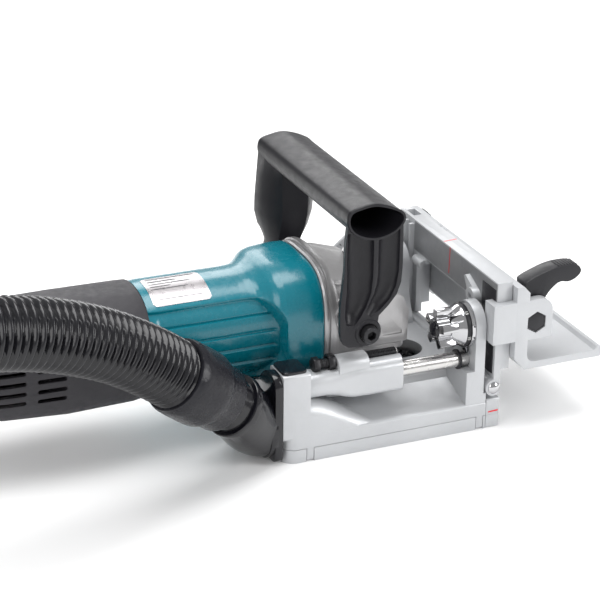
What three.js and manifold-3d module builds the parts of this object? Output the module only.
// Biscuit joiner with its dust hose, in millimetres, +Z up.
// The origin is on the sole, under the cutter's axis, with +X the way that the tool cuts and +Y to its left.
// Inside the model, x is measured from the front contact face, and one group at the end moves it to
// the origin.
import * as THREE from "three";
import { mergeVertices } from "three/addons/utils/BufferGeometryUtils.js";
import Module from "manifold-3d";

const wasm = await Module();
wasm.setup();

// ---- driving dimensions ----
const GAP = 0.3; // between touching pieces
const CUTTER_X = -53; // cutter axis, behind the front face, motor drawn back
const CUTTER_Z = 9; // middle of the cutter's thickness above the sole
const CUTTER_R = 50;
const PLUNGE = 20;
const MOTOR_Z = 62; // armature axis
const BASE_HALF = 62; // half of the base's width
const BASE_REAR = -132;
const BASE_FRONT = -8 - GAP;
const CORNER_R = 12;
const COVER_TOP = 8;
const PLATFORM_Z = 28;
const PLATFORM_HALF = 36;
const LEDGE_Z = 16;
const ROD_Y = 50;
const ROD_Z = 40.5;
const ROD_R = 4.5;
const BLOCK_FRONT = -116; // front face of the fixed rear blocks
const UPRIGHT_REAR = -21;
const UPRIGHT_FRONT = -10;
const TURRET_Y = -49;
const TURRET_Z = 61;
// The turret's upright is cut back above this height, so the turret sits against a thinner plate.
const TURRET_SEAT = -16.5;
const CHAMBER_R = CUTTER_R + 2.5;
const DUCT_Y = -44.5;
const DUCT_Z = 18;
const DUCT_R = 16.6;
const PIVOT_X = -4; // angle guide's hinge
const PIVOT_Z = 25;
const FACE_CLEAR = -0.4; // how far the angle guide stays behind the front face below the fence
const FRAME_REAR = -4.5;
const FRAME_FRONT = 4.6;
const FRAME_HALF = 62.5;
const FRAME_TOP = 88.5;
const FENCE_HALF = 68;
const JOINT_X = -98; // motor housing meets gear housing
const REAR_JOINT_X = -195; // motor housing meets rear cover
const HANDLE_OUT = 62;
const HANDLE_IN = 46;
const HOSE_R = 19;
const HOSE_LENGTH = 1500;
const COIL_R = 209; // middle of the hose in its coil

// ---- materials ----
const look = (color, roughness, metalness) => new THREE.MeshStandardMaterial({ color, roughness, metalness });
const CAST = look(0xdfe1e4, 0.45, 0.6);
const GEAR_CASE = look(0xb9bcbf, 0.4, 0.7);
const STEEL = look(0x9a9da1, 0.3, 0.9);
const CHROME = look(0xe6e8ea, 0.12, 1);
const BLACK_STEEL = look(0x1c1d20, 0.45, 0.6);
const TEAL = look(0x0d7f93, 0.35, 0);
const GREY_PLASTIC = look(0x3a3c40, 0.6, 0);
const BLACK_PLASTIC = look(0x1d1e21, 0.5, 0);
const GLOSS_BLACK = look(0x101114, 0.2, 0);
const RUBBER = look(0x2c2d30, 0.7, 0);
const COPPER = look(0xa8643a, 0.4, 0.8);
const BRASS = look(0xb59a52, 0.35, 0.9);

// ---- solids ----
function solid(geometry) {
  const bare = geometry.index ? geometry.toNonIndexed() : geometry.clone();
  for (const name of Object.keys(bare.attributes)) if (name !== "position") bare.deleteAttribute(name);
  const merged = mergeVertices(bare, 1e-4);
  return new wasm.Manifold(
    new wasm.Mesh({
      numProp: 3,
      vertProperties: new Float32Array(merged.attributes.position.array),
      triVerts: new Uint32Array(merged.index.array),
    }),
  );
}

function geometryOf(body) {
  const mesh = body.getMesh();
  const geometry = new THREE.BufferGeometry();
  geometry.setAttribute("position", new THREE.BufferAttribute(new Float32Array(mesh.vertProperties), 3));
  geometry.setIndex(new THREE.BufferAttribute(new Uint32Array(mesh.triVerts), 1));
  geometry.computeVertexNormals();
  return geometry;
}

const joined = (...bodies) => bodies.reduce((a, b) => a.add(b));
const cut = (body, ...tools) => tools.reduce((a, b) => a.subtract(b), body);
const point = (x, y) => new THREE.Vector2(x, y);
const shapeOf = (points) => new THREE.Shape(points.map((p) => point(p[0], p[1])));
const SIDES = [-1, 1];

// A span measured outwards from the middle plane, on the right side (-1) or the left side (1).
const outward = (side, a, b) => (side > 0 ? [a, b] : [-b, -a]);

const TO_X = new THREE.Matrix4().makeBasis(
  new THREE.Vector3(0, 1, 0),
  new THREE.Vector3(0, 0, 1),
  new THREE.Vector3(1, 0, 0),
);

// A flat outline pushed from a to b along one axis: (y, z) along x, (x, z) along y, (x, y) along z.
function prism(axis, outline, a, b, steps = 5) {
  const shape = outline instanceof THREE.Shape ? outline : shapeOf(outline);
  const options = { depth: b - a, bevelEnabled: false, curveSegments: steps };
  const geometry = new THREE.ExtrudeGeometry(shape, options);
  if (axis === "x") geometry.applyMatrix4(TO_X).translate(a, 0, 0);
  if (axis === "y") geometry.rotateX(Math.PI / 2).translate(0, b, 0);
  if (axis === "z") geometry.translate(0, 0, a);
  return solid(geometry);
}

function block(x0, x1, y0, y1, z0, z1) {
  const geometry = new THREE.BoxGeometry(x1 - x0, y1 - y0, z1 - z0);
  return solid(geometry.translate((x0 + x1) / 2, (y0 + y1) / 2, (z0 + z1) / 2));
}

// A round bar from a to b along one axis; u and v are its place on the other two, in x, y, z order.
function bar(axis, radius, a, b, u, v, sides = 16, endRadius = radius) {
  const geometry = new THREE.CylinderGeometry(endRadius, radius, b - a, sides);
  const middle = (a + b) / 2;
  if (axis === "x") geometry.rotateZ(-Math.PI / 2).translate(middle, u, v);
  if (axis === "y") geometry.translate(u, middle, v);
  if (axis === "z") geometry.rotateX(Math.PI / 2).translate(u, v, middle);
  return solid(geometry);
}

// A shape turned about an axis, from [radius, place along the axis] pairs that start and end on the axis.
function turned(axis, profile, u, v, sides = 16) {
  const geometry = new THREE.LatheGeometry(profile.map((p) => point(p[0], p[1])), sides);
  if (axis === "x") geometry.rotateZ(-Math.PI / 2).translate(0, u, v);
  if (axis === "y") geometry.translate(u, 0, v);
  if (axis === "z") geometry.rotateX(Math.PI / 2).translate(u, v, 0);
  const body = solid(geometry);
  return body.volume() < 0 ? solid(flipped(geometry)) : body;
}

function flipped(geometry) {
  const index = geometry.index.array;
  for (let i = 0; i < index.length; i += 3) [index[i], index[i + 1]] = [index[i + 1], index[i]];
  return geometry;
}

function roundedRect(x0, x1, y0, y1, r) {
  const shape = new THREE.Shape();
  shape.absarc(x1 - r, y0 + r, r, -Math.PI / 2, 0);
  shape.absarc(x1 - r, y1 - r, r, 0, Math.PI / 2);
  shape.absarc(x0 + r, y1 - r, r, Math.PI / 2, Math.PI);
  shape.absarc(x0 + r, y0 + r, r, Math.PI, Math.PI * 1.5);
  return shape;
}

// Two half rounds joined by straight sides, along x, about y = middle.
function stadium(x0, x1, radius, middle = 0) {
  const shape = new THREE.Shape();
  shape.absarc(x1, middle, radius, -Math.PI / 2, Math.PI / 2);
  shape.absarc(x0, middle, radius, Math.PI / 2, Math.PI * 1.5);
  return shape;
}

function polygon(sides, radius, u, v, turn = 0) {
  const corners = [];
  for (let i = 0; i < sides; i++) {
    const angle = turn + (i / sides) * 2 * Math.PI;
    corners.push([u + radius * Math.cos(angle), v + radius * Math.sin(angle)]);
  }
  return corners;
}

function sweep(points, radius, sides, steps, closed = false) {
  const ring = new THREE.Shape(polygon(sides, radius, 0, 0).map((p) => point(p[0], p[1])));
  const path = new THREE.CatmullRomCurve3(points, closed, "centripetal");
  return solid(new THREE.ExtrudeGeometry(ring, { steps, extrudePath: path, bevelEnabled: false }));
}

// A skin through rings of points, capped at both ends.
function loft(rings) {
  const size = rings[0].length;
  const positions = rings.flat().flatMap((p) => [p[0], p[1], p[2]]);
  const index = [];
  for (let r = 0; r + 1 < rings.length; r++) {
    for (let i = 0; i < size; i++) {
      const a = r * size + i;
      const b = r * size + ((i + 1) % size);
      index.push(a, b, a + size, b, b + size, a + size);
    }
  }
  const last = (rings.length - 1) * size;
  for (let i = 1; i + 1 < size; i++) index.push(0, i + 1, i, last, last + i, last + i + 1);
  const geometry = new THREE.BufferGeometry();
  geometry.setAttribute("position", new THREE.BufferAttribute(new Float32Array(positions), 3));
  geometry.setIndex(index);
  const body = solid(geometry);
  return body.volume() < 0 ? solid(flipped(geometry)) : body;
}

const model = new THREE.Group();
const workings = new THREE.Group();
workings.position.x = -CUTTER_X;
model.add(workings);

function add(name, body, material) {
  const mesh = new THREE.Mesh(geometryOf(body), material);
  mesh.name = name;
  workings.add(mesh);
}

// ---- base ----
function basePlan() {
  const shape = new THREE.Shape();
  shape.moveTo(BASE_FRONT, -BASE_HALF);
  shape.lineTo(BASE_FRONT, BASE_HALF);
  shape.lineTo(BASE_REAR + CORNER_R, BASE_HALF);
  shape.absarc(BASE_REAR + CORNER_R, BASE_HALF - CORNER_R, CORNER_R, Math.PI / 2, Math.PI);
  shape.lineTo(BASE_REAR, -BASE_HALF + CORNER_R);
  shape.absarc(BASE_REAR + CORNER_R, -BASE_HALF + CORNER_R, CORNER_R, Math.PI, Math.PI * 1.5);
  return shape;
}

const basePlanSolid = (z0, z1) => prism("z", basePlan(), z0, z1, 4);

function baseProfile() {
  const shoulder = PLATFORM_Z - 4;
  const edge = BASE_HALF - 2;
  return [
    [-BASE_HALF, COVER_TOP + GAP],
    [BASE_HALF, COVER_TOP + GAP],
    [BASE_HALF, LEDGE_Z],
    [edge, LEDGE_Z + 0.5],
    [PLATFORM_HALF + 1, shoulder],
    [PLATFORM_HALF, PLATFORM_Z],
    [-PLATFORM_HALF, PLATFORM_Z],
    [-PLATFORM_HALF - 1, shoulder],
    [-edge, LEDGE_Z + 0.5],
    [-BASE_HALF, LEDGE_Z],
  ];
}

// The dust duct's raised back, which dies away forwards in an S.
function ductBump() {
  const fadeStart = -122;
  const fadeLength = 56;
  const steps = 7;
  const profile = [
    [0, BASE_REAR],
    [DUCT_R, BASE_REAR],
  ];
  for (let i = 0; i < steps; i++) {
    const t = i / steps;
    profile.push([DUCT_R * (0.5 + 0.5 * Math.cos(Math.PI * t)), fadeStart + fadeLength * t]);
  }
  profile.push([0, fadeStart + fadeLength]);
  return turned("x", profile, DUCT_Y, DUCT_Z, 20);
}

function uprightOutline(side) {
  const middle = side * Math.abs(TURRET_Y);
  const r = 12.5;
  const shape = new THREE.Shape();
  const low = LEDGE_Z - 2;
  const inner = side * 30;
  shape.moveTo(middle + side * r, low);
  shape.lineTo(middle + side * r, TURRET_Z + 1);
  shape.absarc(middle, TURRET_Z + 1, r, side > 0 ? 0 : Math.PI, side > 0 ? Math.PI : 0, side < 0);
  shape.lineTo(middle - side * r, 44);
  shape.lineTo(inner, 30);
  shape.lineTo(inner, low);
  return shape;
}

function upright(side) {
  const post = prism("x", uprightOutline(side), UPRIGHT_REAR, UPRIGHT_FRONT, 8);
  const foot = block(UPRIGHT_REAR, BASE_FRONT, side > 0 ? 30 : -61.5, side > 0 ? 61.5 : -30, LEDGE_Z - 2, 22);
  return joined(post, foot);
}

function rearBlock(side) {
  const y0 = side > 0 ? 42 : -61;
  const y1 = side > 0 ? 61 : -42;
  const body = prism("x", roundedRect(y0, y1, LEDGE_Z, 54, 2), BASE_REAR, BLOCK_FRONT, 2);
  return body;
}

// Cheeks at the front corners carry the angle guide's hinge pins.
function hingeCheek(y0, y1) {
  const barrel = bar("y", 5, y0, y1, PIVOT_X, PIVOT_Z, 16);
  const neck = block(-9.5, FACE_CLEAR, y0, y1, 18 + GAP, PIVOT_Z);
  const tie = block(UPRIGHT_FRONT - 2, -6, y0, y1, 18 + GAP, PIVOT_Z + 1);
  return cut(joined(barrel, neck, tie), block(FACE_CLEAR, 5, y0 - 1, y1 + 1, 10, 40));
}

function baseCase() {
  const z0 = COVER_TOP + GAP;
  const casting = prism("x", baseProfile(), BASE_REAR, BASE_FRONT).intersect(basePlanSolid(z0, PLATFORM_Z));
  const bump = ductBump().intersect(basePlanSolid(z0, DUCT_Z + DUCT_R));
  const body = joined(
    casting,
    bump,
    rearBlock(-1),
    rearBlock(1),
    upright(-1),
    upright(1),
    hingeCheek(-51, -42),
    hingeCheek(16, 46),
    ...COVER_LUGS.flatMap(coverLug),
  );
  const front = CUTTER_X + PLUNGE + 2;
  return cut(
    body,
    prism("z", stadium(CUTTER_X, front, CHAMBER_R), z0 - 1, 14, 9),
    prism("z", stadium(CUTTER_X, front - 10, 33), z0 - 1, 22.5, 7),
    prism("z", stadium(CUTTER_X - 1, CUTTER_X + PLUNGE, 13), 14, PLATFORM_Z + 8, 6),
    bar("x", 13, BASE_REAR - 1, -112, DUCT_Y, DUCT_Z, 14),
    block(-113, -78, -56, -33, z0 - 1, 14),
    block(UPRIGHT_REAR - 1, TURRET_SEAT, -63, -35, TURRET_Z - 16, TURRET_Z + 15),
    ...SIDES.map((side) => bar("x", ROD_R + GAP, BASE_REAR + 3, UPRIGHT_FRONT - 3, side * ROD_Y, ROD_Z, 12)),
    bar("x", 3 + GAP, UPRIGHT_REAR - 1, UPRIGHT_FRONT + 3, TURRET_Y, TURRET_Z, 10),
    bar("x", 8, UPRIGHT_FRONT - 3, UPRIGHT_FRONT + 1, TURRET_Y, TURRET_Z, 12),
    bar("y", 2.5 + GAP, -52, -41, PIVOT_X, PIVOT_Z, 10),
    bar("y", 2.5 + GAP, 15, 47, PIVOT_X, PIVOT_Z, 10),
    bar("y", 2.5 + GAP, 48, 62, ANGLE_BOLT.x, ANGLE_BOLT.z, 10),
    bar("z", 3.6, z0 - 1, 15, COVER_SCREW.x, COVER_SCREW.y, 12),
    coverPinHole(),
    ...NOZZLE_SCREWS.map((s) => bar("x", 2 + GAP, BASE_REAR - 1, BASE_REAR + 9, s.y, s.z, 10)),
    ...PLATE_SCREWS.map((s) => bar("x", 2 + GAP, BASE_FRONT - 9, BASE_FRONT + 1, s.y, s.z, 10)),
  );
}

const ANGLE_BOLT = { x: -15.5, z: 66 };
const COVER_SCREW = { x: -112, y: 46 };
const COVER_AXIS = { y: -60.2, z: 1.8 };
const COVER_PIN_R = 0.8;
const COVER_PIN = [-119, -9.2];
const COVER_LUGS = [
  [-118, -114],
  [-14, -10],
];
const LUG_HALF = 1.6;
const NOTCH_INNER = COVER_AXIS.y + 2.1;
const NOZZLE_SCREWS = [{ y: -17.4, z: 22 }];
const PLATE_SCREWS = [
  { y: -54, z: 13 },
  { y: 54, z: 13 },
];

function coverPinHole() {
  const [rear, front] = COVER_PIN;
  return bar("x", COVER_PIN_R + 0.2, rear - GAP, front + GAP, COVER_AXIS.y, COVER_AXIS.z, 12);
}

// A lug that reaches down from the base into the cover, round about the pin.
function coverLug([x0, x1]) {
  const { y, z } = COVER_AXIS;
  return [
    bar("x", LUG_HALF, x0, x1, y, z, 16),
    block(x0, x1, y - LUG_HALF, y + LUG_HALF, z, COVER_TOP + 1),
  ];
}

// The cover is notched for the two lugs that hold its hinge pin.
function baseCover() {
  const front = CUTTER_X + PLUNGE + 2;
  return cut(
    basePlanSolid(0, COVER_TOP),
    prism("z", stadium(CUTTER_X, front, CHAMBER_R), CUTTER_Z - 2.4, COVER_TOP + 1, 9),
    prism("z", stadium(CUTTER_X, CUTTER_X + PLUNGE, 18), 2, COVER_TOP + 1, 6),
    bar("z", 2.5 + GAP, -1, COVER_TOP + 1, COVER_SCREW.x, COVER_SCREW.y, 12),
    bar("z", 5 + GAP, -1, 3.5, COVER_SCREW.x, COVER_SCREW.y, 16),
    coverPinHole(),
    ...COVER_LUGS.map(([x0, x1]) => block(x0 - GAP, x1 + GAP, -70, NOTCH_INNER, -1, COVER_TOP + 1)),
  );
}

function frontPlate() {
  const outline = roundedRect(-BASE_HALF, BASE_HALF, 0, 18, 1);
  const slotHalf = 46.5;
  return cut(
    prism("x", outline, -8, 0, 2),
    block(-9, 1, -slotHalf, slotHalf, CUTTER_Z - 2.6, CUTTER_Z + 2.6),
    ...PLATE_SCREWS.map((s) => bar("x", 2 + GAP, -9, 1, s.y, s.z, 10)),
    ...PLATE_SCREWS.map((s) => bar("x", 4 + GAP, -3, 1, s.y, s.z, 16)),
  );
}

function countersunkScrew(axis, headRadius, radius, head, tip, u, v) {
  const way = Math.sign(tip - head);
  const shoulder = head + way * 2.4;
  const from = (a, b, r) => bar(axis, r, Math.min(a, b), Math.max(a, b), u, v, 12);
  const slot = 1.2;
  const deep = head + way * 1;
  const body = joined(from(head, shoulder, headRadius), from(shoulder - way, tip, radius));
  const lo = Math.min(head - way, deep);
  const hi = Math.max(head - way, deep);
  const driver =
    axis === "x"
      ? block(lo, hi, u - headRadius, u + headRadius, v - slot / 2, v + slot / 2)
      : block(u - headRadius, u + headRadius, v - slot / 2, v + slot / 2, lo, hi);
  return cut(body, driver);
}

// ---- slide rods, with a collar that each return spring pushes on ----
const COLLAR_X = -63;
const SPRING_REAR = -92.5;

function slideRod(side) {
  const rod = bar("x", ROD_R, BASE_REAR + 4, UPRIGHT_FRONT - 4, side * ROD_Y, ROD_Z);
  return joined(rod, bar("x", 6, COLLAR_X, COLLAR_X + 1.2, side * ROD_Y, ROD_Z));
}

function coilSpring(axis, radius, wire, a, b, u, v, turns) {
  const points = [];
  const perTurn = 8;
  const total = turns * perTurn;
  for (let i = 0; i <= total; i++) {
    const angle = (i / perTurn) * 2 * Math.PI;
    const along = a + wire + (b - a - 2 * wire) * (i / total);
    const p = radius * Math.cos(angle);
    const q = radius * Math.sin(angle);
    const place = axis === "x" ? [along, u + p, v + q] : [u + p, v + q, along];
    points.push(new THREE.Vector3(...place));
  }
  return sweep(points, wire, 4, total);
}

// ---- carriage that the motor rides on ----
const CARRIAGE_REAR = -113;
const CARRIAGE_FRONT = -59;

function sliderTube(side) {
  const inner = side * 41;
  const outer = side * 58;
  const y0 = Math.min(inner, outer);
  const y1 = Math.max(inner, outer);
  const front = prism("x", roundedRect(y0, y1, 31, 49, 3), -94, CARRIAGE_FRONT, 3);
  const rear = prism("x", roundedRect(y0, y1, 35.2, 46.7, 2), CARRIAGE_REAR, -93, 2);
  const tipOut = block(CARRIAGE_FRONT - 3, CARRIAGE_FRONT, y0, y1, 31, 49);
  const boss = prism("x", roundedRect(side * 50 - 7, side * 50 + 7, 40, 55, 4), -97, -79, 3);
  return side < 0 ? joined(front, rear, tipOut, boss) : joined(front, rear, tipOut);
}

function slideCarriage() {
  const deck = prism("z", roundedRect(-97.4, -64, -44, 44, 3), 29.5, 40.2, 2);
  const arms = SIDES.map((side) =>
    block(-97.4, CARRIAGE_FRONT - 2, side > 0 ? 38 : -48, side > 0 ? 48 : -38, 31.5, 40.2),
  );
  const body = joined(sliderTube(-1), sliderTube(1), deck, ...arms);
  const bores = SIDES.flatMap((side) => [
    bar("x", ROD_R + GAP, CARRIAGE_REAR - 1, CARRIAGE_FRONT + 1, side * ROD_Y, ROD_Z),
    bar("x", 6.6, SPRING_REAR - 1, CARRIAGE_FRONT + 1, side * ROD_Y, ROD_Z),
  ]);
  return cut(
    body,
    ...bores,
    bar("z", 13, 20, 42, CUTTER_X, 0, 20),
    bar("x", 3 + GAP, -98, CARRIAGE_FRONT + 1, DEPTH_SCREW.y, DEPTH_SCREW.z, 12),
    block(-79, CARRIAGE_FRONT + 1, DEPTH_SCREW.y - 3.4, DEPTH_SCREW.y + 3.4, DEPTH_SCREW.z, 60),
  );
}

const DEPTH_SCREW = { y: TURRET_Y, z: 51.5 };
const HEX_HEAD_R = 4.6;
const FLAT_DOWN = Math.PI / 6;

function bush(side) {
  return cut(
    bar("x", 6.3, CARRIAGE_FRONT - 2.5, CARRIAGE_FRONT + 0.5, side * ROD_Y, ROD_Z),
    bar("x", ROD_R + GAP, CARRIAGE_FRONT - 4, CARRIAGE_FRONT + 2, side * ROD_Y, ROD_Z),
  );
}

const depthHex = (radius) => polygon(6, radius, DEPTH_SCREW.y, DEPTH_SCREW.z, FLAT_DOWN - Math.PI / 2);

function depthScrew() {
  const head = prism("x", depthHex(HEX_HEAD_R), -107.6, -102.8);
  return joined(head, bar("x", 2.9, -103, -60.5, DEPTH_SCREW.y, DEPTH_SCREW.z, 12));
}

function depthNut() {
  const nut = prism("x", depthHex(5.3), -101.6, -97 - GAP);
  return cut(nut, bar("x", 3 + GAP, -103, -96, DEPTH_SCREW.y, DEPTH_SCREW.z, 12));
}

// ---- turret depth stop ----
const TURRET_LOBES = 5;

function lobedOutline(outer, valley) {
  const steps = 40;
  const corners = [];
  for (let i = 0; i < steps; i++) {
    const angle = (i / steps) * 2 * Math.PI;
    const wave = Math.cos(TURRET_LOBES * (angle - Math.PI / 2));
    const r = valley + (outer - valley) * Math.min(1, Math.max(0, 0.3 + 1.1 * wave));
    corners.push([TURRET_Y + r * Math.cos(angle), TURRET_Z + r * Math.sin(angle)]);
  }
  return corners;
}

function stopTurret() {
  const lobes = prism("x", lobedOutline(11.5, 6), -36, -26.6);
  const drum = turned("x", [
    [0, -28],
    [9.5, -28],
    [12.2, -25],
    [12.2, -19.2],
    [10.6, -19.2],
    [10.6, TURRET_SEAT - GAP],
    [0, TURRET_SEAT - GAP],
  ], TURRET_Y, TURRET_Z, 24);
  return cut(
    joined(lobes, drum),
    bar("x", 4.5 + GAP, -37, -31.8, TURRET_Y, TURRET_Z),
    bar("x", 3 + GAP, -33, -15, TURRET_Y, TURRET_Z, 16),
  );
}

function turretBolt() {
  const shank = bar("x", 3, -31.5, UPRIGHT_FRONT - 0.5, TURRET_Y, TURRET_Z, 16);
  const nut = prism("x", polygon(6, 6, TURRET_Y, TURRET_Z), UPRIGHT_FRONT - 2.7, UPRIGHT_FRONT);
  return joined(shank, nut);
}

function turretCap() {
  return turned("x", [
    [0, -32.3],
    [4.4, -32.3],
    [4.4, -36.2],
    [5.4, -36.2],
    [5.4, -36.9],
    [3.6, -38.1],
    [0, -38.5],
  ], TURRET_Y, TURRET_Z);
}

// A ring on the upright with a bent leaf that clicks into the turret.
function detentLeaf() {
  const ring = bar("x", 13, TURRET_SEAT - 2.2, TURRET_SEAT - GAP, TURRET_Y, TURRET_Z, 20);
  const hollow = bar("x", 11.1, TURRET_SEAT - 3, TURRET_SEAT, TURRET_Y, TURRET_Z, 20);
  const leaf = prism("x", [
    [TURRET_Y - 3, TURRET_Z - 11.6],
    [TURRET_Y - 8, TURRET_Z - 15.4],
    [TURRET_Y - 1, TURRET_Z - 14.6],
    [TURRET_Y + 7, TURRET_Z - 10.8],
    [TURRET_Y + 5, TURRET_Z - 10.9],
  ], TURRET_SEAT - 2.2, TURRET_SEAT - GAP);
  return joined(cut(ring, hollow), cut(leaf, hollow));
}

// ---- spindle ----
const NECK_R = 12;
const SPINDLE_R = 6;

function spindle() {
  return turned("z", [
    [0, 3],
    [5, 3],
    [5, 13.5],
    [SPINDLE_R, 13.5],
    [SPINDLE_R, 60],
    [4, 60],
    [4, 68],
    [0, 68],
  ], CUTTER_X, 0);
}

function cutter() {
  const steps = 72;
  const teeth = 6;
  const outline = [];
  for (let i = 0; i < steps; i++) {
    const angle = (i / steps) * 2 * Math.PI;
    const phase = ((i / steps) * teeth) % 1;
    const gullet = phase < 0.16 ? 7.5 * Math.sin((phase / 0.16) * Math.PI) : 0;
    const r = CUTTER_R - gullet - phase * 1.2;
    outline.push([CUTTER_X + r * Math.cos(angle), r * Math.sin(angle)]);
  }
  return cut(
    prism("z", outline, CUTTER_Z - 1.5, CUTTER_Z + 1.5),
    bar("z", 5 + GAP, CUTTER_Z - 3, CUTTER_Z + 3, CUTTER_X, 0),
  );
}

function washer(radius, hole, z0, z1) {
  return cut(bar("z", radius, z0, z1, CUTTER_X, 0, 20), bar("z", hole, z0 - 1, z1 + 1, CUTTER_X, 0));
}

function lockNut() {
  const holes = [-9.5, 9.5].map((y) => bar("z", 1.8, 1, 6, CUTTER_X, y, 10));
  return cut(washer(14, 5 + GAP, 2.8, CUTTER_Z - 1.5 - GAP), ...holes);
}

function bearing(axis, outer, inner, a, b, u, v) {
  const body = cut(bar(axis, outer, a, b, u, v), bar(axis, inner, a - 1, b + 1, u, v));
  const middle = (outer + inner) / 2;
  const half = (outer - inner) * 0.2;
  const groove = cut(
    bar(axis, middle + half, b - 0.6, b + 1, u, v),
    bar(axis, middle - half, b - 1, b + 2, u, v),
  );
  return cut(body, groove);
}

const GEAR_TOP = 56;

function toothedOutline(teeth, root, tip, u, v, turn = 0) {
  const corners = [];
  for (let i = 0; i < teeth; i++) {
    for (const [offset, r] of [[0, root], [0.25, tip], [0.5, tip], [0.75, root]]) {
      const angle = turn + ((i + offset) / teeth) * 2 * Math.PI;
      corners.push([u + r * Math.cos(angle), v + r * Math.sin(angle)]);
    }
  }
  return corners;
}

function crownGear() {
  const pins = polygon(4, 14.6, CUTTER_X, 0, Math.atan2(LOCK_PIN.y, LOCK_PIN.x - CUTTER_X));
  return cut(
    joined(
      bar("z", 17, 48.5, 52.5, CUTTER_X, 0, 24, 20),
      prism("z", toothedOutline(GEAR_TEETH, 19.5, 21.5, CUTTER_X, 0), 52, GEAR_TOP),
    ),
    bar("z", SPINDLE_R + GAP, 48, 57, CUTTER_X, 0),
    bar("z", 11, 54.5, 57, CUTTER_X, 0),
    ...pins.map((p) => bar("z", 3.2, 50.5, 57, p[0], p[1], 8)),
  );
}

const LOCK_PIN = { x: -57.2, y: 14 };
const GEAR_TEETH = 24;
const PINION_TEETH = 8;

function pinion() {
  const teeth = prism("x", toothedOutline(PINION_TEETH, 4.2, 5.6, 0, MOTOR_Z), -77, -66);
  return cut(teeth, bar("x", 2.5 + GAP, -78, -65, 0, MOTOR_Z, 14));
}

// ---- gear housing ----
// A square with rounded sides and corners about the motor axis, with its own height above and below.
function roundSquare(x, half, above, below, power, count = 28) {
  const ring = [];
  for (let i = 0; i < count; i++) {
    const angle = (i / count) * 2 * Math.PI;
    const c = Math.cos(angle);
    const s = Math.sin(angle);
    const y = half * Math.sign(c) * Math.abs(c) ** (2 / power);
    const tall = s > 0 ? above : below;
    ring.push([x, y, MOTOR_Z + tall * Math.sign(s) * Math.abs(s) ** (2 / power)]);
  }
  return ring;
}

const HEAD_BOTTOM = 49;

function gearHousing() {
  const flange = loft([
    roundSquare(JOINT_X + GAP, 37.5, 38, 30, 3),
    roundSquare(-91, 37.5, 38, 30, 3),
    roundSquare(-88.5, 35.5, 36, 30, 3),
  ]);
  const side = [
    [-89.5, HEAD_BOTTOM],
    [-45, HEAD_BOTTOM],
    [-44, 68],
    [-48, 76.5],
    [-60, 84],
    [-76, 93],
    [-89.5, 97],
  ];
  const across = [
    [-33, 40],
    [33, 40],
    [33, 78],
    [25, 90],
    [10, 98],
    [-10, 98],
    [-25, 90],
    [-33, 78],
  ];
  const head = prism("y", side, -33, 33).intersect(prism("x", across, -90, -43));
  const bosses = SIDES.map((s) => bar("y", 9, ...outward(s, 30, HANDLE_IN - GAP), HANDLE_BOLT.x, HANDLE_BOLT.z));
  const lockBoss = bar("z", 7, 70, 88, LOCK_PIN.x, LOCK_PIN.y);
  return cut(
    joined(flange.intersect(block(-99, -88, -50, 50, HEAD_BOTTOM, 120)), head, ...bosses, lockBoss),
    bar("z", 24, 40, 72, CUTTER_X - 2.5, 0, 20),
    bar("x", 12.6, -99, -84, 0, MOTOR_Z, 20),
    bar("x", 10, -85, -60, 0, MOTOR_Z),
    bar("z", 9 + GAP, 40, 74, CUTTER_X, 0),
    bar("z", 2.5 + GAP, 60, 90, LOCK_PIN.x, LOCK_PIN.y, 10),
    bar("z", 5.3, 78, 90, LOCK_PIN.x, LOCK_PIN.y),
    ...SIDES.map((s) => bar("y", 3 + GAP, ...outward(s, 26, 47), HANDLE_BOLT.x, HANDLE_BOLT.z, 10)),
  );
}

const HANDLE_BOLT = { x: -82, z: 72 };

function bearingRetainer() {
  const plate = prism("z", roundedRect(-96, -45, -33, 33, 6), 40.5, HEAD_BOTTOM - GAP, 3);
  const neck = bar("z", NECK_R, 13.5, 41, CUTTER_X, 0, 20);
  return cut(
    joined(plate, neck),
    bar("z", 22.4, 46, 50, CUTTER_X, 0, 20),
    bar("z", 9.5 + GAP, 36, 47, CUTTER_X, 0),
    bar("z", SPINDLE_R + 0.6, 10, 40, CUTTER_X, 0, 12),
  );
}

function lockPin() {
  return joined(
    bar("z", 2.5, 58.5, 84, LOCK_PIN.x, LOCK_PIN.y, 14),
    bar("z", 5, 84, 93, LOCK_PIN.x, LOCK_PIN.y, 18, 4.4),
  );
}

// ---- motor ----
const SHELL = 2.8;
const MOTOR_HALF = 31;

function motorSkin(inset) {
  const s = inset;
  const ends = s > 0 ? 1 : 0;
  return loft([
    roundSquare(REAR_JOINT_X - ends, MOTOR_HALF - s, MOTOR_HALF - s, MOTOR_HALF - s, 2.25),
    roundSquare(-137, MOTOR_HALF - s, MOTOR_HALF - s, MOTOR_HALF - s, 2.25),
    roundSquare(-129, 33.5 - s, 33.2 - s, 31.5 - s, 2.4),
    roundSquare(-121, 37 - s, 36 - s, 32.4 - s, 2.7),
    roundSquare(-114, 38.3 - s, 37.2 - s, 32.6 - s, 2.9),
    roundSquare(JOINT_X - GAP + ends, 38.3 - s, 37.2 - s, 32.6 - s, 3),
  ]);
}

function motorHousing() {
  return cut(
    motorSkin(0),
    motorSkin(SHELL),
    block(-163, -139, 20, 45, 58, 66),
  );
}

function stator() {
  const outer = bar("x", 27, -182, -138, 0, MOTOR_Z, 24).intersect(block(-190, -130, -25, 25, 20, 100));
  return cut(outer, bar("x", 19.6, -190, -130, 0, MOTOR_Z, 20));
}

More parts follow.
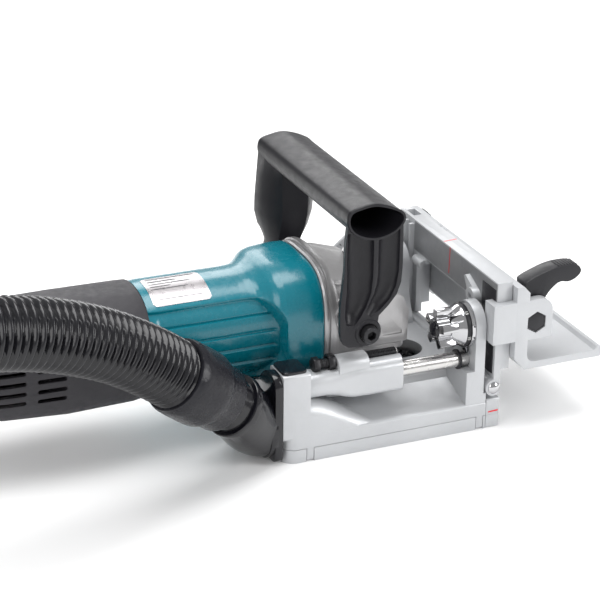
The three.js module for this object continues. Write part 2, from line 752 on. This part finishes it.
function armature() {
  return turned("x", [
    [0, -256],
    [4, -256],
    [4, -228],
    [11, -228],
    [11, -208],
    [6, -208],
    [6, -196],
    [15, -190],
    [15, -181],
    [18.4, -180],
    [18.4, -140],
    [15, -139],
    [12, -130],
    [5, -128],
    [5, -80],
    [2.5, -80],
    [2.5, -64],
    [0, -64],
  ], 0, MOTOR_Z, 14);
}

function fan() {
  const blades = [];
  const count = 8;
  for (let i = 0; i < count; i++) {
    const geometry = new THREE.BoxGeometry(7, 13, 1.4).translate(0, 19, 0);
    geometry.rotateX((i / count) * 2 * Math.PI).translate(-112.6, 0, MOTOR_Z);
    blades.push(solid(geometry));
  }
  const disc = bar("x", 26, -117.5, -116, 0, MOTOR_Z, 20);
  const hub = bar("x", 13, -117, -106, 0, MOTOR_Z);
  return cut(joined(disc, hub, ...blades), bar("x", 5 + GAP, -120, -100, 0, MOTOR_Z));
}

const COVER_RINGS = [
  [REAR_JOINT_X - GAP, 32.5, 32.5, 32.5],
  [-203, 33.5, 33.5, 34],
  [-240, 33.5, 32.8, 34.5],
  [-275, 31.5, 32, 32],
  [-298, 28.5, 30, 28.5],
  [-302, 25.5, 27, 25.5],
];

function coverSkin(inset) {
  const rings = inset > 0 ? COVER_RINGS.slice(0, -1) : COVER_RINGS;
  return loft(
    rings.map(([x, half, above, below], i) => {
      const reach = inset > 0 && i === 0 ? 1 : 0;
      return roundSquare(x + reach, half - inset, above - inset, below - inset, 2.4);
    }),
  );
}

const BRUSH_X = -218;

function rearCover() {
  const shell = cut(coverSkin(0), coverSkin(SHELL));
  return cut(
    joined(shell, bearingWeb()),
    bar("x", 6 + GAP, -306, -290, 0, CORD_Z, 16),
    ...SIDES.map((s) => bar("y", 5.5 + GAP, s > 0 ? 15 : -40, s > 0 ? 40 : -15, BRUSH_X, MOTOR_Z, 16)),
  );
}

const CORD_Z = 54;

function brush(side) {
  const holder = bar("y", 5.5, side > 0 ? 12 : -34, side > 0 ? 34 : -12, BRUSH_X, MOTOR_Z, 16);
  const slot = block(BRUSH_X - 4, BRUSH_X + 4, ...outward(side, 33, 35), MOTOR_Z - 0.7, MOTOR_Z + 0.7);
  return cut(holder, slot);
}

// The web across the rear cover that holds the armature's rear bearing.
function bearingWeb() {
  const outline = roundedRect(-32, 32, MOTOR_Z - 13, MOTOR_Z + 13, 4);
  const plate = prism("x", outline, -252, -243, 4).intersect(coverSkin(1));
  return cut(plate, bar("x", 9 + GAP, -247, -242, 0, MOTOR_Z, 24), bar("x", 7, -253, -240, 0, MOTOR_Z, 20));
}

function switchSlider() {
  const link = block(-206, -141, 25.5, 27.3, 59, 65);
  const neck = block(-157, -147, 27, 32, 59, 65);
  const button = prism("y", roundedRect(-162, -142, 55, 69, 3), 31.5, 35.5, 3);
  return joined(link, neck, button);
}

function cordGland() {
  const taper = bar("x", 4.5, -338, -303.5, 0, CORD_Z, 16, 7);
  const body = joined(taper, bar("x", 6, -304, -292, 0, CORD_Z, 16));
  return cut(body, bar("x", 2.8, -340, -328, 0, CORD_Z, 12));
}

// ---- handle ----
const GRIP = { x: -79.5, z: 135.6, halfX: 17.3, halfZ: 10.2 };

function ovalOutline(halfX, halfZ) {
  const shape = new THREE.Shape();
  shape.absellipse(GRIP.x, GRIP.z, halfX, halfZ, 0, 2 * Math.PI);
  return shape;
}

function legOutline() {
  const shape = new THREE.Shape();
  const rear = GRIP.x - GRIP.halfX;
  const front = GRIP.x + GRIP.halfX;
  shape.moveTo(rear, GRIP.z);
  shape.lineTo(rear, 76);
  shape.quadraticCurveTo(rear + 1, 65, HANDLE_BOLT.x - 4, 65);
  shape.absarc(HANDLE_BOLT.x, HANDLE_BOLT.z, 7.4, -Math.PI / 2, 0);
  shape.quadraticCurveTo(HANDLE_BOLT.x + 8, 81, front - 5, 87);
  shape.quadraticCurveTo(front, 91, front, 98);
  shape.lineTo(front, GRIP.z);
  return shape;
}

function handle() {
  const grip = prism("y", ovalOutline(GRIP.halfX, GRIP.halfZ), -HANDLE_OUT, HANDLE_OUT, 9);
  const legs = SIDES.map((s) =>
    prism("y", legOutline(), ...outward(s, HANDLE_IN, HANDLE_OUT), 5),
  );
  const ends = SIDES.flatMap((s) => [
    prism("y", ovalOutline(14.3, 7.4), ...outward(s, 18, HANDLE_OUT + 1), 8),
    bar("y", 3 + GAP, ...outward(s, 40, 70), HANDLE_BOLT.x, HANDLE_BOLT.z, 10),
  ]);
  return cut(joined(grip, ...legs), ...ends);
}

function handleBolt(side) {
  const way = (a, b, r) => bar("y", r, ...outward(side, a, b), HANDLE_BOLT.x, HANDLE_BOLT.z, 14);
  const head = joined(way(HANDLE_OUT + GAP, HANDLE_OUT + 5, 4.8), way(28, HANDLE_OUT + 1, 3));
  const socket = polygon(6, 2.7, HANDLE_BOLT.x, HANDLE_BOLT.z);
  return cut(head, prism("y", socket, ...outward(side, HANDLE_OUT + 2, HANDLE_OUT + 6)));
}

// ---- angle guide ----
function guideFrame() {
  const plate = block(FRAME_REAR, FRAME_FRONT, -FRAME_HALF, FRAME_HALF, 28, FRAME_TOP);
  const window = block(FRAME_REAR - 1, FRAME_FRONT + 1, -44, 38.4, 20, 69);
  const farCut = block(FRAME_REAR - 1, FRAME_FRONT + 1, 10, 47, 20, 30.4);
  const nearCut = block(FRAME_REAR - 1, FRAME_FRONT + 1, -51.7, -40, 20, 32);
  const rib = (y) => block(FRAME_REAR - 2.5, FRAME_REAR + 1, y, y + 2.5, 35.5, FRAME_TOP - 3);
  const ribs = [43.5, 50.5].map(rib);
  const knuckles = [
    [-FRAME_HALF, -52],
    [47, FRAME_HALF],
  ].map(([y0, y1]) =>
    joined(
      bar("y", 5, y0, y1, PIVOT_X, PIVOT_Z, 16),
      block(PIVOT_X, 1, y0, y1, PIVOT_Z + 1, 32),
    ),
  );
  const boss = bar("x", 5, FRAME_REAR - 4.5, FRAME_REAR + 1, -38, 72, 14);
  const notch = block(-2.2, 3, 49, 59, FRAME_TOP - 5, FRAME_TOP + 1);
  const frontTrim = block(FACE_CLEAR, FRAME_FRONT + 1, -70, 70, 0, 36);
  return cut(
    joined(cut(plate, window, farCut, nearCut), ...ribs, ...knuckles, boss),
    frontTrim,
    notch,
    bar("y", 2.5 + GAP, -70, -51, PIVOT_X, PIVOT_Z, 10),
    bar("y", 2.5 + GAP, 46, 70, PIVOT_X, PIVOT_Z, 10),
  );
}

const HINGE_PINS = { near: [-FRAME_HALF + 0.2, -43], far: [15.4, FRAME_HALF - 0.2] };

function hingePin([y0, y1]) {
  return bar("y", 2.5, y0, y1, PIVOT_X, PIVOT_Z, 12);
}

const SLOT_R = Math.hypot(ANGLE_BOLT.x - PIVOT_X, ANGLE_BOLT.z - PIVOT_Z);
const SLOT_START = Math.atan2(ANGLE_BOLT.z - PIVOT_Z, ANGLE_BOLT.x - PIVOT_X);
const SLOT_HALF = 2.9;
const QUADRANT_IN = FRAME_HALF + 0.4;
const QUADRANT_OUT = QUADRANT_IN + 2.4;

// An arc band about the guide's hinge, from one angle to another.
function arcBand(inner, outer, from, to, y0, y1) {
  const shape = new THREE.Shape();
  shape.absarc(PIVOT_X, PIVOT_Z, outer, from, to);
  shape.absarc(PIVOT_X, PIVOT_Z, inner, to, from, true);
  return prism("y", shape, y0, y1, 9);
}

function angleQuadrant() {
  const end = SLOT_START + Math.PI / 2;
  const plate = arcBand(SLOT_R - 9, 62, Math.PI * 0.5, end + 0.1, QUADRANT_IN, QUADRANT_OUT);
  const foot = block(-4.3, 4.3, QUADRANT_IN, QUADRANT_OUT, 50, 86);
  const span = [QUADRANT_IN - 1, QUADRANT_OUT + 1];
  const slotEnds = [SLOT_START - 0.04, end + 0.02];
  const slot = arcBand(SLOT_R - SLOT_HALF, SLOT_R + SLOT_HALF, ...slotEnds, ...span);
  const ends = slotEnds.map((angle) => {
    const x = PIVOT_X + SLOT_R * Math.cos(angle);
    const z = PIVOT_Z + SLOT_R * Math.sin(angle);
    return bar("y", SLOT_HALF, ...span, x, z, 10);
  });
  return cut(joined(plate, foot), slot, ...ends);
}

function angleBolt() {
  return joined(
    bar("y", 2.5, 48.5, 77, ANGLE_BOLT.x, ANGLE_BOLT.z, 10),
    bar("y", 4.5, QUADRANT_OUT + GAP, QUADRANT_OUT + 2.8, ANGLE_BOLT.x, ANGLE_BOLT.z, 14),
  );
}

// A lever from its hub to its thumb pad, as an outline seen from the side.
function leverOutline(hub, radius, tip) {
  const shape = new THREE.Shape();
  shape.moveTo(hub.x + radius, hub.z);
  shape.lineTo(hub.x + radius + 3, hub.z + 8);
  shape.lineTo(tip.x - 15, tip.z - 6);
  shape.quadraticCurveTo(tip.x - 10, tip.z - 3, tip.x - 6, tip.z - 5);
  shape.quadraticCurveTo(tip.x, tip.z - 4, tip.x, tip.z);
  shape.quadraticCurveTo(tip.x - 3, tip.z + 4, tip.x - 8, tip.z + 3);
  shape.quadraticCurveTo(tip.x - 18, tip.z + 2, hub.x + 5, hub.z + 19);
  shape.quadraticCurveTo(hub.x - radius, hub.z + 12, hub.x - radius, hub.z);
  shape.absarc(hub.x, hub.z, radius, Math.PI, Math.PI * 2);
  return shape;
}

function angleLever() {
  const y0 = QUADRANT_OUT + 3.2;
  const y1 = y0 + 9;
  const tip = { x: ANGLE_BOLT.x + 34, z: ANGLE_BOLT.z + 10 };
  const body = prism("y", leverOutline(ANGLE_BOLT, 7, tip), y0, y1, 5);
  const hole = bar("y", 2.5 + GAP, y0 - 1, 77 + GAP, ANGLE_BOLT.x, ANGLE_BOLT.z, 10);
  return cut(body, hole);
}

// ---- fence ----
const SHELF_Z = 36;
const PLATE_REAR = 5;
const PLATE_FRONT = 13;
const SHELF_FRONT = 60;
const FENCE_BOLT = { x: 18, z: 64 };

function fenceSection() {
  return [
    [PLATE_REAR, SHELF_Z + 7.5],
    [PLATE_REAR + 6.5, SHELF_Z],
    [SHELF_FRONT, SHELF_Z],
    [SHELF_FRONT + 1, SHELF_Z + 6],
    [SHELF_FRONT - 3, SHELF_Z + 6],
    [SHELF_FRONT - 6, SHELF_Z + 4],
    [PLATE_FRONT + 4, SHELF_Z + 4],
    [PLATE_FRONT + 1, SHELF_Z + 5],
    [PLATE_FRONT, SHELF_Z + 8],
    [PLATE_FRONT, 81],
    [PLATE_REAR + 3, 86.5],
    [PLATE_REAR, 86.5],
  ];
}

function earOutline() {
  const shape = new THREE.Shape();
  shape.moveTo(-11, 54);
  shape.lineTo(28, 54);
  shape.lineTo(28, 70);
  shape.absarc(20, 70, 8, 0, Math.PI / 2);
  shape.lineTo(-11, 78);
  return shape;
}

// With the guide folded flat, the cutter comes out through a slot between the fence's plate and shelf.
function fence() {
  const section = prism("y", fenceSection(), -FENCE_HALF, FENCE_HALF);
  const ear = prism("y", earOutline(), -FENCE_HALF, -FRAME_HALF - GAP, 6);
  const hook = block(-10, FRAME_REAR - 0.4, -FRAME_HALF - 1, -57, 55, 77);
  return cut(
    joined(section, ear, hook),
    bar("y", 3 + GAP, -70, -60, FENCE_BOLT.x, FENCE_BOLT.z, 14),
    prism("y", polygon(6, 6.4, FENCE_BOLT.x, FENCE_BOLT.z, 0.5), -70, -FENCE_HALF + 2.4),
    block(-20, PLATE_REAR - 0.1, QUADRANT_IN - 1, 80, 20, 90),
    block(9.4, 14.8, -47, 47, SHELF_Z - 1, SHELF_Z + 12),
  );
}

function fenceBolt() {
  return joined(
    prism("y", polygon(6, 6, FENCE_BOLT.x, FENCE_BOLT.z, 0.5), -FENCE_HALF - 0.2, -FENCE_HALF + 2.1),
    bar("y", 3, -FENCE_HALF + 1, -46, FENCE_BOLT.x, FENCE_BOLT.z, 14),
  );
}

function fenceLever() {
  const outline = leverOutline(FENCE_BOLT, 4.6, { x: 50, z: 87 });
  const body = prism("y", outline, -61.8, -51, 5);
  return cut(body, bar("y", 3 + GAP, -63, -50, FENCE_BOLT.x, FENCE_BOLT.z, 14));
}

// ---- dust nozzle and hose ----
const NOZZLE = { y: -43.5, z: 27.5, radius: 22 };
const RIM = new THREE.Vector3(-156.4, -56, 37.3);
const HOSE_EXIT = new THREE.Vector3(-197.4, -69, 70.4);
const CUFF_WAY = HOSE_EXIT.clone().sub(RIM).normalize();

const alongCuff = (distance) => RIM.clone().addScaledVector(CUFF_WAY, distance);

// A round body turned about the cuff's slanting line, from [radius, distance past the nozzle's rim] pairs.
function onCuffLine(profile, sides = 16) {
  const geometry = new THREE.LatheGeometry(profile.map((p) => point(p[0], p[1])), sides);
  const turn = new THREE.Quaternion().setFromUnitVectors(new THREE.Vector3(0, 1, 0), CUFF_WAY);
  geometry.applyQuaternion(turn).translate(RIM.x, RIM.y, RIM.z);
  return solid(geometry);
}

// Rings that swing from the base's rear face to the cuff's line.
function elbow(startRadius, endRadius, start, stretch) {
  const from = new THREE.Vector3(start, NOZZLE.y, NOZZLE.z);
  const to = alongCuff(stretch);
  const path = new THREE.CubicBezierCurve3(
    from,
    from.clone().add(new THREE.Vector3(-11, 0, 0)),
    to.clone().addScaledVector(CUFF_WAY, -11),
    to,
  );
  const rings = [];
  const steps = 5;
  const sides = 14;
  for (let i = 0; i <= steps; i++) {
    const t = i / steps;
    const way = path.getTangent(t);
    const turn = new THREE.Quaternion().setFromUnitVectors(new THREE.Vector3(0, 0, 1), way);
    const radius = startRadius + (endRadius - startRadius) * t;
    const centre = path.getPoint(t);
    const ring = polygon(sides, radius, 0, 0).map(([u, v]) => {
      const p = new THREE.Vector3(u, v, 0).applyQuaternion(turn).add(centre);
      return [p.x, p.y, p.z];
    });
    rings.push(ring);
  }
  return loft(rings);
}

function dustNozzle() {
  const flange = bar("x", NOZZLE.radius, BASE_REAR - 6, BASE_REAR - GAP, NOZZLE.y, NOZZLE.z, 24);
  const ear = prism("x", roundedRect(-27, -12, 16, 28, 4), BASE_REAR - 4, BASE_REAR - GAP, 3);
  const rim = onCuffLine([
    [0, -4],
    [17.6, -4],
    [17.6, 0],
    [0, 0],
  ]);
  const behindBase = block(-200, BASE_REAR - GAP, -100, 0, 0.5, 100);
  const spout = onCuffLine([[0, -1], [15.2, -1], [15.2, 16], [0, 16]]);
  const body = joined(flange, ear, elbow(20.5, 16.6, BASE_REAR - 4, 0), rim, spout).intersect(behindBase);
  return cut(
    body,
    elbow(14, 12.4, BASE_REAR + 1, 0.5),
    onCuffLine([[0, 0], [12.4, 0], [12.4, 18], [0, 18]]),
    ...NOZZLE_SCREWS.map((s) => bar("x", 2 + GAP, BASE_REAR - 7, BASE_REAR, s.y, s.z, 10)),
  );
}

const CUFF_LENGTH = HOSE_EXIT.distanceTo(RIM);

function hoseCuff() {
  const outer = [
    [0, 9],
    [18.2, 9],
    [19.8, 11],
    [19.8, 24],
    [21, 26],
    [21, CUFF_LENGTH - 1],
    [20.4, CUFF_LENGTH],
    [0, CUFF_LENGTH],
  ];
  return cut(
    onCuffLine(outer),
    onCuffLine([[0, 8], [15.2 + GAP, 8], [15.2 + GAP, 16 + GAP], [13, 17], [13, 70], [0, 70]]),
  );
}

// The hose's middle line: up out of the cuff, over, and down to the floor behind the tool.
const HOSE_ROUTE = [
  [-197.8, -69.1, 70.7],
  [-208, -72.3, 78.9],
  [-222, -76.7, 89.2],
  [-238, -81.1, 99],
  [-260, -86.7, 109.5],
  [-283, -91.8, 117.4],
  [-308, -96.5, 122.8],
  [-332, -100.4, 125.1],
  [-357, -103.6, 124.6],
  [-382, -106.1, 120.1],
  [-406, -107.8, 111.7],
  [-428, -108.6, 99.8],
  [-448, -108.8, 84.5],
  [-466, -108.8, 66.3],
  [-485, -108.8, 49.9],
  [-506, -108.8, 36.9],
  [-530, -108.8, 27],
  [-555, -108.8, 21.1],
  [-580, -108.8, 19.4],
  [-592, -108.8, 19.4],
].map((p) => new THREE.Vector3(...p));
const ROUTE_END = HOSE_ROUTE[HOSE_ROUTE.length - 1];

// The coil's one turn on the floor, from where the route ends, clockwise seen from above.
class FloorTurn extends THREE.Curve {
  constructor(from, to) {
    super();
    this.from = from;
    this.to = to;
  }

  getPoint(t) {
    const angle = this.from + (this.to - this.from) * t;
    const side = COIL_R * (1 - Math.cos(angle));
    return new THREE.Vector3(ROUTE_END.x - COIL_R * Math.sin(angle), ROUTE_END.y + side, ROUTE_END.z);
  }
}

const ROUTE_LENGTH = new THREE.CatmullRomCurve3(HOSE_ROUTE, false, "centripetal").getLength();
const COIL_ANGLE = (HOSE_LENGTH - ROUTE_LENGTH) / COIL_R;

function hoseTube(path, steps) {
  const ring = new THREE.Shape(polygon(10, HOSE_R, 0, 0).map((p) => point(p[0], p[1])));
  return solid(new THREE.ExtrudeGeometry(ring, { steps, extrudePath: path, bevelEnabled: false }));
}

function hoseEndCuff() {
  const start = COIL_ANGLE + GAP / COIL_R;
  const end = new FloorTurn(0, start).getPoint(1);
  const way = new THREE.Vector3(-Math.cos(start), Math.sin(start), 0);
  const outline = [
    [0, 0],
    [19.4, 0],
    [19.4, 30],
    [17, 33],
    [17, 62],
    [0, 62],
  ];
  const bore = [
    [0, 6],
    [14, 6],
    [14, 64],
    [0, 64],
  ];
  const turn = new THREE.Quaternion().setFromUnitVectors(new THREE.Vector3(0, 1, 0), way);
  const placed = [outline, bore].map((profile) => {
    const geometry = new THREE.LatheGeometry(profile.map((p) => point(p[0], p[1])), 16);
    return solid(geometry.applyQuaternion(turn).translate(end.x, end.y, end.z));
  });
  return cut(...placed);
}

// ---- everything in place ----
add("base_case", baseCase(), CAST);
add("base_cover", baseCover(), CAST);
add("front_plate", frontPlate(), CAST);
add("cover_hinge_pin", bar("x", COVER_PIN_R, ...COVER_PIN, COVER_AXIS.y, COVER_AXIS.z, 10), STEEL);
add("cover_screw", countersunkScrew("z", 5, 2.5, 0.6, 14, COVER_SCREW.x, COVER_SCREW.y), BLACK_STEEL);
const plateScrew = ({ y, z }) => countersunkScrew("x", 4, 2, -0.4, -16, y, z);
add("front_plate_screw_right", plateScrew(PLATE_SCREWS[0]), BLACK_STEEL);
add("front_plate_screw_left", plateScrew(PLATE_SCREWS[1]), BLACK_STEEL);
add("slide_rod_right", slideRod(-1), STEEL);
add("slide_rod_left", slideRod(1), STEEL);
add("return_spring_right", coilSpring("x", 5.6, 0.45, SPRING_REAR, COLLAR_X - GAP, -ROD_Y, ROD_Z, 8), STEEL);
add("return_spring_left", coilSpring("x", 5.6, 0.45, SPRING_REAR, COLLAR_X - GAP, ROD_Y, ROD_Z, 8), STEEL);
add("slide_carriage", slideCarriage(), CAST);
add("slide_bush_right", bush(-1), BRASS);
add("slide_bush_left", bush(1), BRASS);
add("depth_screw", depthScrew(), BLACK_STEEL);
add("depth_lock_nut", depthNut(), BLACK_STEEL);
add("stop_turret", stopTurret(), CHROME);
add("turret_cap", turretCap(), GLOSS_BLACK);
add("turret_bolt", turretBolt(), STEEL);
add("turret_detent_leaf", detentLeaf(), CHROME);
add("spindle", spindle(), STEEL);
add("cutter", cutter(), STEEL);
add("cutter_flange", washer(15, 5 + GAP, CUTTER_Z + 1.5 + GAP, 13.2), STEEL);
add("cutter_lock_nut", lockNut(), STEEL);
add("spindle_bearing_lower", bearing("z", 9.5, SPINDLE_R + GAP, 36.2, 45.8, CUTTER_X, 0), STEEL);
add("crown_gear", crownGear(), STEEL);
add("pinion", pinion(), STEEL);
add("gear_housing", gearHousing(), GEAR_CASE);
add("bearing_retainer", bearingRetainer(), GEAR_CASE);
add("shaft_lock_pin", lockPin(), BLACK_PLASTIC);
add("shaft_lock_spring", coilSpring("z", 3.9, 0.4, 78.2, 83.8, LOCK_PIN.x, LOCK_PIN.y, 4), STEEL);
add("motor_housing", motorHousing(), TEAL);
add("rear_cover", rearCover(), GREY_PLASTIC);
add("stator", stator(), STEEL);
add("armature", armature(), COPPER);
add("fan", fan(), BLACK_PLASTIC);
add("front_bearing", bearing("x", 12.3, 5 + GAP, -97, -88, 0, MOTOR_Z), STEEL);
add("rear_bearing", bearing("x", 9, 4 + GAP, -246.8, -240.5, 0, MOTOR_Z), STEEL);
add("brush_cap_right", brush(-1), BLACK_PLASTIC);
add("brush_cap_left", brush(1), BLACK_PLASTIC);
add("switch_slider", switchSlider(), BLACK_PLASTIC);
add("cord_gland", cordGland(), RUBBER);
add("handle", handle(), BLACK_PLASTIC);
add("handle_bolt_right", handleBolt(-1), BLACK_STEEL);
add("handle_bolt_left", handleBolt(1), BLACK_STEEL);
add("guide_frame", guideFrame(), CAST);
add("hinge_pin_right", hingePin(HINGE_PINS.near), CHROME);
add("hinge_pin_left", hingePin(HINGE_PINS.far), CHROME);
add("angle_quadrant", angleQuadrant(), CAST);
add("angle_bolt", angleBolt(), STEEL);
add("angle_lever", angleLever(), BLACK_PLASTIC);
add("fence", fence(), CAST);
add("fence_bolt", fenceBolt(), BLACK_STEEL);
add("fence_lever", fenceLever(), BLACK_PLASTIC);
add("dust_nozzle", dustNozzle(), GLOSS_BLACK);
const nozzleScrew = ({ y, z }) => countersunkScrew("x", 3.6, 2, BASE_REAR - 6.7, BASE_REAR + 8, y, z);
add("nozzle_screw", nozzleScrew(NOZZLE_SCREWS[0]), STEEL);
add("hose_cuff", hoseCuff(), RUBBER);
add("hose_run", hoseTube(new THREE.CatmullRomCurve3(HOSE_ROUTE, false, "centripetal"), 18), RUBBER);
add("hose_coil", hoseTube(new FloorTurn(GAP / COIL_R, COIL_ANGLE), 32), RUBBER);
add("hose_end_cuff", hoseEndCuff(), RUBBER);

export default model;
